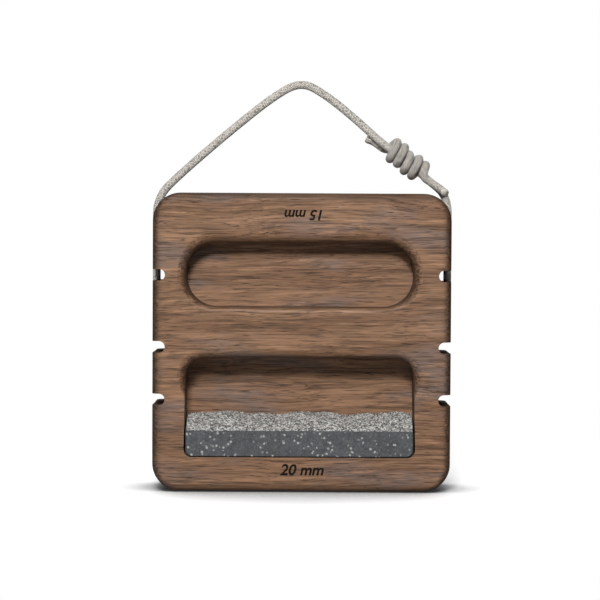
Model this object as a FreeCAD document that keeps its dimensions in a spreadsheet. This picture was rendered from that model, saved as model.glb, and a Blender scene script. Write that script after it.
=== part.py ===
import FreeCAD, Part
import Sketcher
import math
import os
from FreeCAD import Placement, Rotation, Vector

# Hangboard: a wooden block with two finger pockets, a stone edge glued into the lower one,
# and a knotted cord loop that runs through a cross hole and up a groove in each side.
# Everything is drawn about the centre of the block: X to the right, -Y to the climber, +Z up.
# The finished pieces are then let down so that the origin is where a hook carries the loop.

SIZES = {
    # wooden block
    "board_width": 150.0,
    "board_height": 150.0,
    "board_thickness": 40.0,
    "corner_radius": 14.0,
    "edge_round": 4.0,
    # how far both pockets stand off the middle of the front
    "pocket_aside": -0.9,
    # shallow pocket, in the upper half
    "upper_pocket_width": 114.6,
    "upper_pocket_top": 49.7,
    "upper_pocket_bottom": 17.9,
    "upper_pocket_depth": 15.0,
    "upper_pocket_corner": 15.0,
    "upper_grip_round": 6.8,
    "upper_end_round": 5.0,
    "upper_lip_round": 3.0,
    # deep pocket, in the lower half, which also takes the stone
    "lower_pocket_width": 114.6,
    "lower_pocket_top": -7.7,
    "lower_pocket_depth": 20.0,
    "lower_pocket_corner": 10.0,
    "lower_grip_round": 5.0,
    "lower_end_round": 5.0,
    "lower_rim_ease": 0.5,
    "rim_ease_below_corner": 12.0,
    # cord notches in the sides
    "notch_height": 5.8,
    "notch_depth": 6.4,
    "upper_notch": 33.7,
    "middle_notch": -2.4,
    "lower_notch": -28.8,
    # cord, and the channel that carries it
    "cord_diameter": 4.0,
    "cord_clearance": 0.4,
    "groove_depth": 3.2,
    "cross_hole_level": 9.0,
    "mouth_radius": 5.0,
    "corner_bend": 16.0,
    "loop_rise": 59.7,
    "loop_aside": -0.6,
    "apex_bend": 18.0,
    "leg_bow": 1.3,
    "left_corner_drop": 1.6,
    "right_corner_drop": 0.7,
    "bend_stub": 6.0,
    # knot
    "knot_slope": 38.1,
    "knot_roll": 45.0,
    "knot_to_corner": 27.3,
    "wrap_gap": 0.45,
    "wraps": 2,
    "wrap_start": 3.35,
    "crossing_leave": 5.65,
    "crossing_along": 0.49,
    "crossing_out": 3.58,
    "crossing_aside": -1.39,
    "crossing_lean": 38.4,
    "crossing_turn": 37.8,
    "first_wrap_angle": 67.0,
    "knot_lead": 9.0,
    "tail_turn_along": 4.8,
    "tail_turn_out": 4.2,
    "tail_turn_aside": 4.0,
    "tail_stub": 1.5,
    "upper_tail_length": 12.0,
    "lower_tail_length": 13.4,
    # stone bar
    "stone_bottom": -57.2,
    "stone_front_top": -44.0,
    "stone_back_top": -36.8,
    "stone_crown": 1.5,
    "stone_corner": 3.5,
    "stone_recess": 0.3,
    "split_swell": 0.6,
    # adhesive bed
    "bed_thickness": 0.4,
    "bed_recess": 1.5,
    "bed_front_top": -45.5,
    "bed_back_top": -39.3,
}

# Shares of the way along a leg of the loop where its bow is given
LEFT_BOWS = (0.22, 0.64)
RIGHT_BOW = 0.45
# An arc between two runs takes this share of the shorter one
ARC_SHARE = 0.45
# The split top's waves along the bar: each a length, a phase and a share of the swell
SPLIT_WAVES = ((6.9, 0.8, 1.0), (2.7, 2.1, 0.5))
CROWN_SHARE = 0.4
SPLIT_STEPS = 16
# A rim's rounding is lofted in so many steps, and runs past the face and the wall by this share
RIM_STEPS = 6
RIM_PAST = 0.01
# A curve stands for a quarter arc when its handles take this share of the radius
QUARTER_ARC = 0.5523
# The strands of the knot keep this far apart
LEAST_GAP = 0.4


def make_sheet(doc):
    """The driving dimensions, one named cell each."""
    sheet = doc.addObject("Spreadsheet::Sheet", "Sizes")
    for row, (alias, value) in enumerate(SIZES.items(), 1):
        sheet.set("A%d" % row, alias)
        sheet.set("B%d" % row, str(value))
        sheet.setAlias("B%d" % row, alias)
    doc.recompute()
    return sheet


doc = FreeCAD.newDocument("hangboard")
sheet = make_sheet(doc)


def size(alias):
    return float(getattr(sheet, alias))


# Sketches and solids drawn from them

def on_plane(sketch, body, role, offset=0.0):
    """Puts a sketch on one of its own body's origin planes, moved along the plane's normal."""
    plane = next(f for f in body.Origin.OriginFeatures if f.Role == role)
    sketch.AttachmentSupport = [(plane, "")]
    sketch.MapMode = "FlatFace"
    sketch.AttachmentOffset = Placement(Vector(0, 0, offset), Rotation())


def bind(sketch, name, constraint, expression):
    index = sketch.addConstraint(constraint)
    sketch.renameConstraint(index, name)
    sketch.setExpression("Constraints." + name, expression)


def rounded_outline(sketch, right, bottom, top, bottom_corner, top_corner):
    """A rounded rectangle, the same on both sides of the middle. Each place is an expression
    of the sheet."""
    value = lambda text: float(doc.getObject("Sizes").evalExpression(text))
    x, low, high = value(right), value(bottom), value(top)
    rb, rt = value(bottom_corner), value(top_corner)
    arc = lambda cx, cz, r, a, b: sketch.addGeometry(
        Part.ArcOfCircle(Part.Circle(Vector(cx, cz, 0), Vector(0, 0, 1), r), math.radians(a), math.radians(b))
    )
    line = lambda *p: sketch.addGeometry(Part.LineSegment(Vector(p[0], p[1], 0), Vector(p[2], p[3], 0)))
    chain = []
    chain.append((arc(x - rb, low + rb, rb, -90, 0), "arc"))
    chain.append((line(x, low + rb, x, high - rt), "line"))
    chain.append((arc(x - rt, high - rt, rt, 0, 90), "arc"))
    chain.append((line(x - rt, high, -x + rt, high), "line"))
    chain.append((arc(-x + rt, high - rt, rt, 90, 180), "arc"))
    chain.append((line(-x, high - rt, -x, low + rb), "line"))
    chain.append((arc(-x + rb, low + rb, rb, 180, 270), "arc"))
    chain.append((line(-x + rb, low, x - rb, low), "line"))
    for (a, _), (b, _) in zip(chain, chain[1:] + chain[:1]):
        sketch.addConstraint(Sketcher.Constraint("Tangent", a, 2, b, 1))
    arcs = [i for i, kind in chain if kind == "arc"]
    corners = [("right_low", 1, bottom_corner, bottom), ("right_high", 1, top_corner, top)]
    corners += [("left_high", -1, top_corner, top), ("left_low", -1, bottom_corner, bottom)]
    for i, (name, side, radius, level_text) in zip(arcs, corners):
        bind(sketch, name + "_radius", Sketcher.Constraint("Radius", i, value(radius)), radius)
        reach = "%s - %s" % (right, radius)
        if side > 0:
            place = Sketcher.Constraint("DistanceX", -1, 1, i, 3, value(reach))
        else:
            place = Sketcher.Constraint("DistanceX", i, 3, -1, 1, value(reach))
        bind(sketch, name + "_across", place, reach)
        sign = "-" if name.endswith("high") else "+"
        height = "%s %s %s" % (level_text, sign, radius)
        bind(sketch, name + "_level", Sketcher.Constraint("DistanceY", -1, 1, i, 3, value(height)), height)


def outline_pocket(body, name, outline, depth):
    """A pocket cut from the front face down to its depth."""
    sketch = body.newObject("Sketcher::SketchObject", name + "_outline")
    on_plane(sketch, body, "XZ_Plane")
    sketch.setExpression("AttachmentOffset.Base.x", "Sizes.pocket_aside")
    sketch.setExpression("AttachmentOffset.Base.z", "Sizes.board_thickness / 2")
    rounded_outline(sketch, *outline)
    pocket = body.newObject("PartDesign::Pocket", name)
    pocket.Profile = sketch
    pocket.Type = "Length"
    pocket.Length = size(depth.split(".")[-1])
    pocket.setExpression("Length", depth)
    doc.recompute()
    return pocket


def notch(body, name, level):
    """One cord notch in the right side, cut from front to back, with a round inner end."""
    sketch = body.newObject("Sketcher::SketchObject", name + "_outline")
    on_plane(sketch, body, "XZ_Plane")
    radius = size("notch_height") / 2
    side = size("board_width") / 2
    centre = side - size("notch_depth") + radius
    outer = side + radius
    z = size(level)
    end = sketch.addGeometry(
        Part.ArcOfCircle(Part.Circle(Vector(centre, z, 0), Vector(0, 0, 1), radius), math.pi / 2, 1.5 * math.pi)
    )
    low = sketch.addGeometry(Part.LineSegment(Vector(centre, z - radius, 0), Vector(outer, z - radius, 0)))
    out = sketch.addGeometry(Part.LineSegment(Vector(outer, z - radius, 0), Vector(outer, z + radius, 0)))
    high = sketch.addGeometry(Part.LineSegment(Vector(outer, z + radius, 0), Vector(centre, z + radius, 0)))
    sketch.addConstraint(Sketcher.Constraint("Tangent", end, 2, low, 1))
    sketch.addConstraint(Sketcher.Constraint("Coincident", low, 2, out, 1))
    sketch.addConstraint(Sketcher.Constraint("Coincident", out, 2, high, 1))
    sketch.addConstraint(Sketcher.Constraint("Tangent", high, 2, end, 1))
    sketch.addConstraint(Sketcher.Constraint("Horizontal", low))
    sketch.addConstraint(Sketcher.Constraint("Vertical", out))
    across = "Sizes.board_width / 2 - Sizes.notch_depth + Sizes.notch_height / 2"
    bind(sketch, "radius", Sketcher.Constraint("Radius", end, radius), "Sizes.notch_height / 2")
    bind(sketch, "across", Sketcher.Constraint("DistanceX", -1, 1, end, 3, centre), across)
    bind(sketch, "level", Sketcher.Constraint("DistanceY", -1, 1, end, 3, z), "Sizes." + level)
    reach = "Sizes.board_width / 2 + Sizes.notch_height / 2"
    bind(sketch, "reach", Sketcher.Constraint("DistanceX", -1, 1, low, 2, outer), reach)
    pocket = body.newObject("PartDesign::Pocket", name)
    pocket.Profile = sketch
    pocket.Type = "ThroughAll"
    pocket.SideType = "Symmetric"
    doc.recompute()
    return pocket


# The pockets' rims. Each is a list of stations anticlockwise round the wall: (x, z, the way out
# of the pocket there, the rim's rounding there). The rounding changes smoothly between them.

RIGHT, UP, LEFT, DOWN = Vector(1, 0, 0), Vector(0, 0, 1), Vector(-1, 0, 0), Vector(0, 0, -1)


def upper_stations():
    x, corner = size("upper_pocket_width") / 2, size("upper_pocket_corner")
    low, high = size("upper_pocket_bottom"), size("upper_pocket_top")
    grip, end, lip = size("upper_grip_round"), size("upper_end_round"), size("upper_lip_round")
    return [
        (x, low + corner, RIGHT, end),
        (x, high - corner, RIGHT, end),
        (x - corner, high, UP, grip),
        (-x + corner, high, UP, grip),
        (-x, high - corner, LEFT, end),
        (-x, low + corner, LEFT, end),
        (-x + corner, low, DOWN, lip),
        (x - corner, low, DOWN, lip),
    ]


def lower_stations():
    x, corner = size("lower_pocket_width") / 2, size("lower_pocket_corner")
    seat_corner = size("stone_corner") + size("bed_thickness")
    low, high = size("stone_bottom") - size("bed_thickness"), size("lower_pocket_top")
    grip, end, ease = size("lower_grip_round"), size("lower_end_round"), size("lower_rim_ease")
    faded = high - corner - size("rim_ease_below_corner")
    return [
        (x, low + seat_corner, RIGHT, ease),
        (x, faded, RIGHT, ease),
        (x, high - corner, RIGHT, end),
        (x - corner, high, UP, grip),
        (-x + corner, high, UP, grip),
        (-x, high - corner, LEFT, end),
        (-x, faded, LEFT, ease),
        (-x, low + seat_corner, LEFT, ease),
        (-x + seat_corner, low, DOWN, ease),
        (x - seat_corner, low, DOWN, ease),
    ]


def ring(stations, angle, level=None, inward=0.0):
    """The rim's outline at an angle of its rounding, from 0 before the front face to 90 within
    the wall, or at a level behind the front face."""
    front = -size("board_thickness") / 2
    turn = math.radians(angle)
    places = []
    for x, z, out, rounding in stations:
        sunk = rounding * (1 - math.cos(turn) - RIM_PAST) if level is None else level
        wall = Vector(x + size("pocket_aside"), front + sunk, z)
        places.append(wall + out * (rounding * (1 - math.sin(turn) - RIM_PAST) - inward))
    edges = []
    half = math.sqrt(0.5)
    nexts = stations[1:] + stations[:1]
    for this, following, p, q in zip(stations, nexts, places, places[1:] + places[:1]):
        out, rounding = this[2:]
        next_out, next_rounding = following[2:]
        ahead, arriving = Vector(-out.z, 0, out.x), Vector(-next_out.z, 0, next_out.x)
        reach, last_reach = (q - p).dot(ahead), (q - p).dot(arriving)
        if rounding == next_rounding and out == next_out:
            curve = Part.LineSegment(p, q)
        elif rounding == next_rounding:
            curve = Part.Arc(p, p + ahead * (reach * half) - out * (reach * (1 - half)), q)
        else:
            share = 1 / 3 if out == next_out else QUARTER_ARC
            curve = Part.BezierCurve()
            curve.setPoles([p, p + ahead * (share * reach), q - arriving * (share * last_reach), q])
        edges.append(curve.toShape())
    return Part.Wire(edges)


def rim_tool(name, stations):
    """What rounds a pocket's rim: lofted through the rounding, and closed before the front face
    and within the pocket."""
    rings = [ring(stations, 90 * i / RIM_STEPS) for i in range(RIM_STEPS + 1)]
    mouth = ring(stations, 0, level=-1)
    deepest = max(rounding for _, _, _, rounding in stations)
    inner = ring(stations, 90, level=deepest + 1, inward=1)
    faces = [Part.Face(mouth), Part.Face(inner)]
    for sections, ruled in (([mouth, rings[0]], True), (rings, False), ([rings[-1], inner], True)):
        faces += Part.makeLoft(sections, False, ruled).Faces
    shell = Part.makeShell(faces)
    shell.sewShape()
    solid = Part.makeSolid(shell)
    if not solid.isValid():
        raise RuntimeError("the tool of the %s isn't a valid solid" % name)
    tool = doc.addObject("Part::Feature", name)
    tool.Shape = solid if solid.Volume > 0 else solid.reversed()
    return tool


def make_board():
    """The wooden block without its cord channel."""
    body = doc.addObject("PartDesign::Body", "board_blank")
    outline = body.newObject("Sketcher::SketchObject", "board_outline")
    on_plane(outline, body, "XZ_Plane")
    half_height = "Sizes.board_height / 2"
    corner = "Sizes.corner_radius"
    rounded_outline(outline, "Sizes.board_width / 2", "-" + half_height, half_height, corner, corner)
    pad = body.newObject("PartDesign::Pad", "block")
    pad.Profile = outline
    pad.SideType = "Symmetric"
    pad.Length = size("board_thickness")
    pad.setExpression("Length", "Sizes.board_thickness")
    doc.recompute()
    half = size("board_thickness") / 2
    rims = [
        "Edge%d" % (i + 1)
        for i, edge in enumerate(pad.Shape.Edges)
        if all(abs(abs(v.Y) - half) < 1e-6 for v in edge.Vertexes)
    ]
    rounded = body.newObject("PartDesign::Fillet", "rounded_edges")
    rounded.Base = (pad, rims)
    rounded.Radius = size("edge_round")
    rounded.setExpression("Radius", "Sizes.edge_round")
    doc.recompute()
    upper = outline_pocket(
        body,
        "upper_pocket",
        (
            "Sizes.upper_pocket_width / 2",
            "Sizes.upper_pocket_bottom",
            "Sizes.upper_pocket_top",
            "Sizes.upper_pocket_corner",
            "Sizes.upper_pocket_corner",
        ),
        "Sizes.upper_pocket_depth",
    )
    lower = outline_pocket(
        body,
        "lower_pocket",
        (
            "Sizes.lower_pocket_width / 2",
            "Sizes.stone_bottom - Sizes.bed_thickness",
            "Sizes.lower_pocket_top",
            "Sizes.stone_corner + Sizes.bed_thickness",
            "Sizes.lower_pocket_corner",
        ),
        "Sizes.lower_pocket_depth",
    )
    notches = [notch(body, name, name) for name in ("upper_notch", "middle_notch", "lower_notch")]
    plane = next(f for f in body.Origin.OriginFeatures if f.Role == "YZ_Plane")
    mirrored = body.newObject("PartDesign::Mirrored", "left_notches")
    mirrored.Originals = notches
    mirrored.MirrorPlane = (plane, [""])
    body.Tip = mirrored
    doc.recompute()
    steps = [pad, rounded, upper, lower, *notches, body]
    for name, stations in (("upper_rim", upper_stations()), ("lower_rim", lower_stations())):
        cut = doc.addObject("Part::Cut", name + "_cut")
        cut.Base = steps[-1]
        cut.Tool = rim_tool(name, stations)
        doc.recompute()
        steps.append(cut)
    volumes = [step.Shape.Volume for step in steps]
    if any(b >= a - 1 for a, b in zip(volumes, volumes[1:])):
        raise RuntimeError("a cut in the block took nothing away: %s" % volumes)
    return steps[-1]


# Paths of the cord

def arc_at(corner, before, after, radius):
    """The arc that rounds a route's corner: (start, middle, end, how far each end is from it)."""
    a = (before - corner).normalize()
    b = (after - corner).normalize()
    turn = math.pi - a.getAngle(b)
    reach = radius * math.tan(turn / 2)
    inward = (a + b).normalize()
    middle = corner + inward * (radius / math.cos(turn / 2) - radius)
    return corner + a * reach, middle, corner + b * reach, reach


def route_edges(points, radii):
    """Straight runs joined by tangent arcs. radii gives each inner corner's radius, and None
    takes the arc that fills its share of the shorter run."""
    edges, used = [], []
    at = points[0]
    for i, given in enumerate(radii, 1):
        before, corner, after = points[i - 1], points[i], points[i + 1]
        turn = math.pi - (before - corner).getAngle(after - corner)
        shorter = min((corner - before).Length, (after - corner).Length)
        radius = given if given else ARC_SHARE * shorter / math.tan(turn / 2)
        start, middle, end, _ = arc_at(corner, before, after, radius)
        if (start - at).Length > 1e-4:
            edges.append(Part.LineSegment(at, start).toShape())
        edges.append(Part.Arc(start, middle, end).toShape())
        used.append(round(radius, 1))
        at = end
    if (points[-1] - at).Length > 1e-4:
        edges.append(Part.LineSegment(at, points[-1]).toShape())
    return edges, used


def biarc(p, along_p, q, along_q):
    """Two arcs from p to q that share a tangent where they meet, and their radii."""
    gap = q - p
    both = along_p + along_q
    square = 2 * (1 - along_p.dot(along_q))
    reach = gap.dot(both)
    if square < 1e-9:
        d = gap.dot(gap) / (4 * gap.dot(along_q))
    else:
        d = (-reach + math.sqrt(reach * reach + square * gap.dot(gap))) / square
    near = p + along_p * d
    far = q - along_q * d
    joint = (near + far) * 0.5
    edges, radii = [], []
    for a, corner, b in ((p, near, joint), (joint, far, q)):
        chord = (a + b) * 0.5
        turn = math.pi - (a - corner).getAngle(b - corner)
        if turn < 1e-5:
            edges.append(Part.LineSegment(a, b).toShape())
            continue
        radius = (a - corner).Length / math.tan(turn / 2)
        inward = (chord - corner).normalize()
        middle = corner + inward * (radius / math.cos(turn / 2) - radius)
        edges.append(Part.Arc(a, middle, b).toShape())
        radii.append(radius)
    return edges, radii


def tube(name, edges, diameter="Sizes.cord_diameter"):
    """A round cord along a path of tangent edges."""
    path = doc.addObject("Part::Feature", name + "_path")
    path.Shape = Part.Wire(edges)
    section = doc.addObject("Part::Circle", name + "_section")
    section.Radius = 1
    section.setExpression("Radius", diameter + " / 2")
    first = path.Shape.OrderedEdges[0]
    start = path.Shape.OrderedVertexes[0].Point
    ahead = first.tangentAt(first.FirstParameter)
    if (first.valueAt(first.FirstParameter) - start).Length > 1e-6:
        ahead = first.tangentAt(first.LastParameter).negative()
    section.Placement = Placement(start, Rotation(Vector(0, 0, 1), ahead))
    solid = doc.addObject("Part::Sweep", name)
    solid.Sections = [section]
    solid.Spine = (path, [])
    solid.Solid = True
    solid.Frenet = False
    doc.recompute()
    radius = float(section.Radius)
    expected = math.pi * radius * radius * path.Shape.Length
    print("%s: %.1f mm long, volume %.1f of %.1f" % (name, path.Shape.Length, solid.Shape.Volume, expected))
    return solid


# Places that the cord's route goes by

half_thickness = size("board_thickness") / 2
cord_radius = size("cord_diameter") / 2
groove_centre = size("board_width") / 2 - size("groove_depth") + cord_radius + size("cord_clearance")
board_top = size("board_height") / 2
hole_level = size("cross_hole_level")
left_corner = Vector(-groove_centre, 0, board_top - size("left_corner_drop"))
right_corner = Vector(groove_centre, 0, board_top - size("right_corner_drop"))
apex_corner = Vector(size("loop_aside"), 0, board_top + size("loop_rise"))

slope = math.radians(size("knot_slope"))
along = Vector(math.cos(slope), 0, -math.sin(slope))
knot_centre = right_corner - along * size("knot_to_corner")


def bowed(a, b, share, bow):
    """A point of a slightly bowed leg, that share of the way from a to b."""
    run = b - a
    outward = Vector(run.z, 0, -run.x).normalize()
    if outward.z < 0:
        outward = outward * -1
    return a + run * share + outward * bow


left_first = bowed(left_corner, apex_corner, LEFT_BOWS[0], size("leg_bow") / 2)
left_second = bowed(left_corner, apex_corner, LEFT_BOWS[1], size("leg_bow"))
right_first = bowed(apex_corner, knot_centre, RIGHT_BOW, size("leg_bow") / 2)


# The knot, drawn in its own frame: a along the knot, b and c across it. Each strand comes in on
# the axis, through the other strand's wraps, steps out past the middle, and wraps the other strand.

def knot_frame(turned):
    """Turns a point of the knot's frame into the block's. The two strands are alike, each the
    other turned half round the c axis."""
    up = Vector(math.sin(slope), 0, math.cos(slope))
    front = Vector(0, -1, 0)
    roll = math.radians(size("knot_roll"))
    across_b = up * math.cos(roll) + front * math.sin(roll)
    across_c = up * -math.sin(roll) + front * math.cos(roll)
    flip = -1 if turned else 1
    return lambda a, b, c: along * (a * flip) + across_b * (b * flip) + across_c * c


def strand(turned, tail_length):
    """Stations of one strand, as (point, tangent), from the knot's middle outwards."""
    vector = knot_frame(turned)
    place = lambda a, b, c: knot_centre + vector(a, b, c)
    wrap = size("cord_diameter") + size("wrap_gap")
    lead = math.atan(wrap / (2 * math.pi * wrap))
    pitch = wrap / math.cos(lead)
    join = size("wrap_start")
    lean = math.radians(size("crossing_lean"))
    swing = math.radians(size("crossing_turn"))
    crossing = place(size("crossing_along"), size("crossing_out"), size("crossing_aside"))
    across = vector(0, math.cos(swing), math.sin(swing))
    stations = [(place(-size("crossing_leave"), 0, 0), vector(1, 0, 0))]
    stations.append((crossing, vector(1, 0, 0) * math.cos(lean) + across * math.sin(lean)))
    quarters = int(round(4 * size("wraps")))
    for angle in [size("first_wrap_angle")] + [90 * q for q in range(1, quarters + 1)]:
        turn = math.radians(angle)
        point = place(join + pitch * angle / 360, wrap * math.cos(turn), wrap * math.sin(turn))
        flat = vector(0, -math.sin(turn), math.cos(turn))
        stations.append((point, flat * math.cos(lead) + vector(1, 0, 0) * math.sin(lead)))
    coil_end = join + pitch * size("wraps")
    beside = wrap / math.sqrt(2)
    out = place(coil_end + size("tail_turn_along"), size("tail_turn_out"), size("tail_turn_aside"))
    tip = place(coil_end + cord_radius + tail_length, beside, beside)
    stations.append((out, (tip - out).normalize()))
    return stations, tip


def joined(stations):
    edges, radii = [], []
    for (p, along_p), (q, along_q) in zip(stations, stations[1:]):
        more, bends = biarc(p, along_p, q, along_q)
        edges += more
        radii += bends
    return edges, radii


# The cord, one length, as the stretches that move alike

def make_cord():
    """The cord's nodes, from the knot's upper tail all round to its lower tail."""
    left_leg = (left_first - left_corner).normalize()
    bend = size("corner_bend")
    left_mouth = Vector(-groove_centre, 0, hole_level)
    right_mouth = Vector(groove_centre, 0, hole_level)
    below_left, _, over_left, _ = arc_at(left_corner, left_mouth, left_first, bend)
    below_right = arc_at(right_corner, right_mouth, knot_centre, bend)[0]
    left_stub = over_left + left_leg * size("bend_stub")
    radii = []

    held, used = route_edges([below_left, left_mouth, right_mouth, below_right], [size("mouth_radius")] * 2)
    radii += used
    nodes = [tube("cord_held", held)]

    edges, used = route_edges([below_left, left_corner, left_stub], [bend])
    radii += used
    nodes.append(tube("cord_bend_left", edges))

    first, lower_tip = strand(False, size("lower_tail_length"))
    second, upper_tip = strand(True, size("upper_tail_length"))
    core = (first[0][0] - knot_centre).Length
    into_knot = knot_centre - along * (core + size("knot_lead"))
    out_of_knot = knot_centre + along * (core + size("knot_lead") + size("tail_stub"))
    loop = [left_stub, left_first, left_second, apex_corner, right_first, into_knot]
    edges, used = route_edges(loop, [None, None, size("apex_bend"), None])
    radii += used
    nodes.append(tube("cord_loop", edges))

    for name, stations, start, tip in (
        ("knot_wrap_lower", first, into_knot, lower_tip),
        ("knot_wrap_upper", second, out_of_knot, upper_tip),
    ):
        edges, used = joined(stations)
        radii += used
        leaves, ahead = stations[-1]
        stub = leaves + ahead * size("tail_stub")
        edges = [Part.LineSegment(start, stations[0][0]).toShape()] + edges
        edges.append(Part.LineSegment(leaves, stub).toShape())
        nodes.append(tube(name, edges))
        tail = name.replace("knot_wrap", "cord_tail")
        nodes.append(tube(tail, [Part.LineSegment(stub, tip).toShape()]))

    edges, used = route_edges([below_right, right_corner, out_of_knot], [bend])
    radii += used
    nodes.append(tube("cord_bend_right", edges))
    print("radii of the cord's bends:", ", ".join("%.1f" % r for r in radii))
    return nodes


def make_channel():
    """The groove in each side with its ends over the corners, and the cross hole."""
    width = "(Sizes.cord_diameter + 2 * Sizes.cord_clearance)"
    bend = size("corner_bend")
    left_mouth = Vector(-groove_centre, 0, hole_level)
    right_mouth = Vector(groove_centre, 0, hole_level)
    past = lambda corner, leg: corner + (leg - corner).normalize() * (bend + size("corner_radius"))
    points = [past(left_corner, left_first), left_corner, left_mouth, right_mouth, right_corner]
    points.append(past(right_corner, knot_centre))
    mouth = size("mouth_radius")
    edges, _ = route_edges(points, [bend, mouth, mouth, bend])
    cuts = [tube("cord_channel", edges, width)]
    for name, corner, leg in (("left", left_corner, left_first), ("right", right_corner, knot_centre)):
        down = lambda p: Vector(p.x, p.y, -p.z)
        edges, _ = route_edges([Vector(corner.x, 0, hole_level), down(corner), down(past(corner, leg))], [bend])
        cuts.append(tube("lower_groove_" + name, edges, width))
    channel = doc.addObject("Part::MultiFuse", "channel")
    channel.Shapes = cuts
    doc.recompute()
    return channel


def make_wood_body():
    board = make_board()
    channel = make_channel()
    wood = doc.addObject("Part::Cut", "wood_body")
    wood.Base = board
    wood.Tool = channel
    doc.recompute()
    if wood.Shape.Volume > board.Shape.Volume - 100:
        raise RuntimeError("the cord channel took nothing away")
    return wood


# The stone bar and its bed

def upright_sketch(name, depth):
    """A sketch on the upright plane at that depth, X across and Z up."""
    sketch = doc.addObject("Sketcher::SketchObject", name)
    sketch.Placement = Placement(Vector(0, 0, 0), Rotation(Vector(1, 0, 0), 90))
    sketch.setExpression("Placement.Base.y", depth)
    return sketch


def prism(name, sketch, length):
    """A sketch drawn out along Y, away from the climber."""
    solid = doc.addObject("Part::Extrusion", name)
    solid.Base = sketch
    solid.DirMode = "Custom"
    solid.Dir = Vector(0, 1, 0)
    solid.LengthFwd = 1
    solid.setExpression("LengthFwd", length)
    solid.Solid = True
    doc.recompute()
    return solid


def split_section(x):
    """The bar's outline at a place along it. Its sawn front is straight, and its split top
    rises towards the back in a low crown that swells and dips along the bar."""
    front = -half_thickness + size("stone_recess")
    back = front + size("lower_pocket_depth") - size("stone_recess") - size("bed_thickness")
    swell = size("split_swell") * sum(share * math.sin(x / length + phase) for length, phase, share in SPLIT_WAVES)
    low = size("stone_bottom")
    brow = size("stone_front_top")
    top = size("stone_back_top") + swell
    deep = (front + back) / 2
    crown = (brow + top) / 2 + size("stone_crown") + CROWN_SHARE * swell
    corners = [Vector(x, back, top), Vector(x, back, low), Vector(x, front, low), Vector(x, front, brow)]
    edges = [Part.LineSegment(a, b).toShape() for a, b in zip(corners, corners[1:])]
    edges.append(Part.Arc(corners[3], Vector(x, deep, crown), corners[0]).toShape())
    return Part.Wire(edges)


def make_stone_shapes():
    """The stone bar, trimmed to the pocket's outline with rounded lower corners, and the bed
    that holds it: thin under, behind and beside the stone, and set back from its front."""
    sections = []
    half = size("lower_pocket_width") / 2
    for i in range(SPLIT_STEPS + 1):
        section = doc.addObject("Part::Feature", "split_section_%d" % i)
        section.Shape = split_section(-half + 2 * half * i / SPLIT_STEPS)
        sections.append(section)
    bar = doc.addObject("Part::Loft", "split_bar")
    bar.Sections = sections
    bar.Solid = True
    bar.Ruled = False
    outline = upright_sketch("stone_outline", "-Sizes.board_thickness / 2")
    corner = "Sizes.stone_corner"
    across = "Sizes.lower_pocket_width / 2 - Sizes.bed_thickness"
    rounded_outline(outline, across, "Sizes.stone_bottom", "Sizes.lower_pocket_top", corner, corner)
    trim = prism("stone_trim", outline, "Sizes.board_thickness")
    stones = []
    for name in ("stone_seat", "stone_edge"):
        stone = doc.addObject("Part::Common", name)
        stone.Base = bar
        stone.Tool = trim
        stones.append(stone)
    seat, stone = stones

    outline = upright_sketch("bed_outline", "-Sizes.board_thickness / 2")
    corner = "Sizes.stone_corner + Sizes.bed_thickness"
    bottom = "Sizes.stone_bottom - Sizes.bed_thickness"
    rounded_outline(outline, "Sizes.lower_pocket_width / 2", bottom, "Sizes.lower_pocket_top", corner, corner)
    room = prism("bed_room", outline, "Sizes.board_thickness")
    side = bed_side_sketch()
    slab = doc.addObject("Part::Extrusion", "bed_slab")
    slab.Base = side
    slab.DirMode = "Custom"
    slab.Dir = Vector(1, 0, 0)
    slab.LengthFwd = size("lower_pocket_width")
    slab.setExpression("LengthFwd", "Sizes.lower_pocket_width")
    slab.Symmetric = True
    slab.Solid = True
    block = doc.addObject("Part::Common", "bed_block")
    block.Base = slab
    block.Tool = room
    bed = doc.addObject("Part::Cut", "stone_adhesive")
    bed.Base = block
    bed.Tool = seat
    doc.recompute()
    return stone, bed


def bed_side_sketch():
    """The bed's side outline: the pocket's floor and back, and a slope below the stone's top."""
    sketch = doc.addObject("Sketcher::SketchObject", "bed_side")
    sketch.Placement = Placement(Vector(0, 0, 0), Rotation(Vector(1, 1, 1), 120))
    front = -half_thickness + size("bed_recess")
    back = -half_thickness + size("lower_pocket_depth")
    low = size("stone_bottom") - size("bed_thickness")
    corners = [(back, low), (back, size("bed_back_top")), (front, size("bed_front_top")), (front, low)]
    lines = []
    for a, b in zip(corners, corners[1:] + corners[:1]):
        lines.append(sketch.addGeometry(Part.LineSegment(Vector(*a, 0), Vector(*b, 0))))
    for a, b in zip(lines, lines[1:] + lines[:1]):
        sketch.addConstraint(Sketcher.Constraint("Coincident", a, 2, b, 1))
    places = (
        ("back", lines[0], "-Sizes.board_thickness / 2 + Sizes.lower_pocket_depth", "Sizes.bed_back_top"),
        ("front", lines[2], "Sizes.bed_recess - Sizes.board_thickness / 2", "Sizes.stone_bottom - Sizes.bed_thickness"),
    )
    value = lambda text: float(sheet.evalExpression(text))
    for name, line, across, level in places:
        y, z = value(across), value(level)
        bind(sketch, name + "_depth", Sketcher.Constraint("DistanceX", -1, 1, line, 2, y), across)
        bind(sketch, name + "_level", Sketcher.Constraint("DistanceY", -1, 1, line, 2, z), level)
    for name, line, across, level in (
        ("low", lines[0], places[0][2], places[1][3]),
        ("high", lines[2], places[1][2], "Sizes.bed_front_top"),
    ):
        y, z = value(across), value(level)
        bind(sketch, name + "_depth", Sketcher.Constraint("DistanceX", -1, 1, line, 1, y), across)
        bind(sketch, name + "_level", Sketcher.Constraint("DistanceY", -1, 1, line, 1, z), level)
    return sketch


# How near the cord comes to itself in the knot

def path_points(name):
    """Points every half millimetre or so along a cord's path."""
    wire = doc.getObject(name + "_path").Shape
    return wire.discretize(Number=int(wire.Length * 2))


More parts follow.
